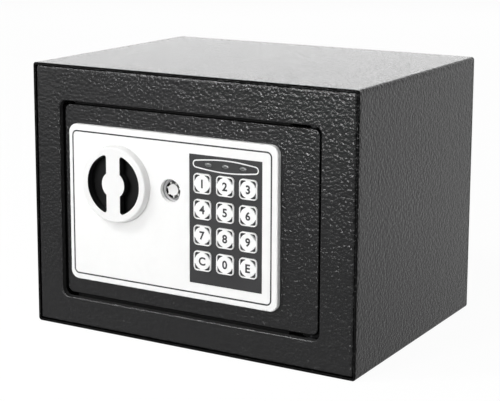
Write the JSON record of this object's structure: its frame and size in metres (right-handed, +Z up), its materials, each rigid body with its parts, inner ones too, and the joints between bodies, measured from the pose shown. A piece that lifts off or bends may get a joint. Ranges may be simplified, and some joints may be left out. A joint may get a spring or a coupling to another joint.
{
  "type": "security safe",
  "caption": "Small steel security safe with a recessed hinged door, electronic keypad, turning knob that throws the bolts, and a tubular override key lock.",
  "frame": {"origin": "middle of the cabinet's underside, halfway between its front face and its back", "axes": "+Z up, +X to the right as seen from the front, +Y from the front to the back"},
  "size_m": [0.23, 0.175, 0.17],
  "materials": {
    "black_powder_coat": "semi-gloss textured powder coat",
    "zinc_steel": "zinc plated",
    "polished_steel": "turned and polished",
    "chrome": "polished",
    "blackened_steel": "blackened",
    "white_moulding": "satin gloss",
    "key_plastic": "satin",
    "black_moulding": "fine texture",
    "keypad_grey": "satin",
    "nylon": "moulded",
    "silicone": "matt",
    "circuit_board": "solder mask",
    "component_black": "matt",
    "ribbon_grey": "satin",
    "red_button": "gloss",
    "lamp_lens": "translucent, unlit",
    "copper_winding": "enamelled wire",
    "cell_wrap": "plain film",
    "felt": "needled felt"
  },
  "bodies": {
    "cabinet": {"body_shell": "black_powder_coat", "back_panel": "black_powder_coat", "front_frame": "black_powder_coat", "strike_rail": "black_powder_coat", "door_stops": "black_powder_coat", "hinge_brackets": "black_powder_coat", "hinge_washer": "blackened_steel", "floor_mat": "felt"},
    "door": {"batteries": "cell_wrap", "battery_tray": "black_moulding", "board_components": "component_black", "board_standoffs": "zinc_steel", "bolt_guide": "zinc_steel", "control_panel": "white_moulding", "cover_posts": "zinc_steel", "cover_screws": "zinc_steel", "door_plate": "black_powder_coat", "guide_screws": "zinc_steel", "hinge_blocks": "black_powder_coat", "hinge_pins": "blackened_steel", "indicator_lamps": "lamp_lens", "inner_cover": "black_moulding", "key_mat": "silicone", "keypad_board": "circuit_board", "keypad_plate": "keypad_grey", "keypad_ribbon": "ribbon_grey", "keypad_screws": "zinc_steel", "knob_bush": "nylon", "lock_body": "chrome", "lock_nut": "chrome", "main_board": "circuit_board", "panel_screws": "zinc_steel", "plunger_spring": "zinc_steel", "solenoid_coil": "copper_winding", "solenoid_frame": "zinc_steel"},
    "knob": {"knob_face": "white_moulding", "knob_cup": "black_moulding", "knob_spindle": "zinc_steel", "knob_cam": "zinc_steel", "spindle_clip": "zinc_steel"},
    "bolts": {"bolt_carriage": "zinc_steel", "locking_bolts": "polished_steel"},
    "lock_plug": {"lock_core": "chrome", "lock_pins": "chrome", "lock_cam": "zinc_steel"},
    "plunger": {"solenoid_plunger": "zinc_steel"},
    "reset": {"reset_button": "red_button"},
    "battery_lid": {"battery_cover": "black_moulding"},
    "key_1": {"key_1": "key_plastic"},
    "key_2": {"key_2": "key_plastic"},
    "key_3": {"key_3": "key_plastic"},
    "key_4": {"key_4": "key_plastic"},
    "key_5": {"key_5": "key_plastic"},
    "key_6": {"key_6": "key_plastic"},
    "key_7": {"key_7": "key_plastic"},
    "key_8": {"key_8": "key_plastic"},
    "key_9": {"key_9": "key_plastic"},
    "key_clear": {"key_clear": "key_plastic"},
    "key_0": {"key_0": "key_plastic"},
    "key_enter": {"key_enter": "key_plastic"}
  },
  "joints": [
    {"name": "door_hinge", "type": "hinge", "parent": "cabinet", "child": "door", "pos_m": [0.0829, -0.076, 0.0834], "axis": [0, 0, 1], "range_deg": [0, 95]},
    {"name": "knob_turn", "type": "hinge", "parent": "door", "child": "knob", "pos_m": [-0.0509, -0.0852, 0.09815], "axis": [0, -1, 0], "range_deg": [0, 70]},
    {"name": "bolt_throw", "type": "slide", "parent": "door", "child": "bolts", "axis": [-1, 0, 0], "range_m": [0, 0.01034]},
    {"name": "lock_turn", "type": "hinge", "parent": "door", "child": "lock_plug", "pos_m": [-0.0116, -0.082, 0.09815], "axis": [0, 1, 0], "range_deg": [0, 90]},
    {"name": "plunger_lift", "type": "slide", "parent": "door", "child": "plunger", "axis": [0, 0, 1], "range_m": [-0.003, 0], "stiffness_N_per_m": 30, "springref_m": -0.003, "deforming": ["plunger_spring"]},
    {"name": "reset_press", "type": "slide", "parent": "door", "child": "reset", "axis": [0, -1, 0], "range_m": [0, 0.001], "stiffness_N_per_m": 400},
    {"name": "battery_cover_off", "type": "slide", "parent": "door", "child": "battery_lid", "axis": [0, 1, 0], "range_m": [0, 0.025]},
    {"name": "key_1_press", "type": "slide", "parent": "door", "child": "key_1", "axis": [0, 1, 0], "range_m": [0, 0.0008], "stiffness_N_per_m": 400},
    {"name": "key_2_press", "type": "slide", "parent": "door", "child": "key_2", "axis": [0, 1, 0], "range_m": [0, 0.0008], "stiffness_N_per_m": 400},
    {"name": "key_3_press", "type": "slide", "parent": "door", "child": "key_3", "axis": [0, 1, 0], "range_m": [0, 0.0008], "stiffness_N_per_m": 400},
    {"name": "key_4_press", "type": "slide", "parent": "door", "child": "key_4", "axis": [0, 1, 0], "range_m": [0, 0.0008], "stiffness_N_per_m": 400},
    {"name": "key_5_press", "type": "slide", "parent": "door", "child": "key_5", "axis": [0, 1, 0], "range_m": [0, 0.0008], "stiffness_N_per_m": 400},
    {"name": "key_6_press", "type": "slide", "parent": "door", "child": "key_6", "axis": [0, 1, 0], "range_m": [0, 0.0008], "stiffness_N_per_m": 400},
    {"name": "key_7_press", "type": "slide", "parent": "door", "child": "key_7", "axis": [0, 1, 0], "range_m": [0, 0.0008], "stiffness_N_per_m": 400},
    {"name": "key_8_press", "type": "slide", "parent": "door", "child": "key_8", "axis": [0, 1, 0], "range_m": [0, 0.0008], "stiffness_N_per_m": 400},
    {"name": "key_9_press", "type": "slide", "parent": "door", "child": "key_9", "axis": [0, 1, 0], "range_m": [0, 0.0008], "stiffness_N_per_m": 400},
    {"name": "key_clear_press", "type": "slide", "parent": "door", "child": "key_clear", "axis": [0, 1, 0], "range_m": [0, 0.0008], "stiffness_N_per_m": 400},
    {"name": "key_0_press", "type": "slide", "parent": "door", "child": "key_0", "axis": [0, 1, 0], "range_m": [0, 0.0008], "stiffness_N_per_m": 400},
    {"name": "key_enter_press", "type": "slide", "parent": "door", "child": "key_enter", "axis": [0, 1, 0], "range_m": [0, 0.0008], "stiffness_N_per_m": 400}
  ],
  "couplings": [
    {"joint": "bolt_throw", "follows": "knob_turn", "m_per_rad": 0.008451}
  ]
}
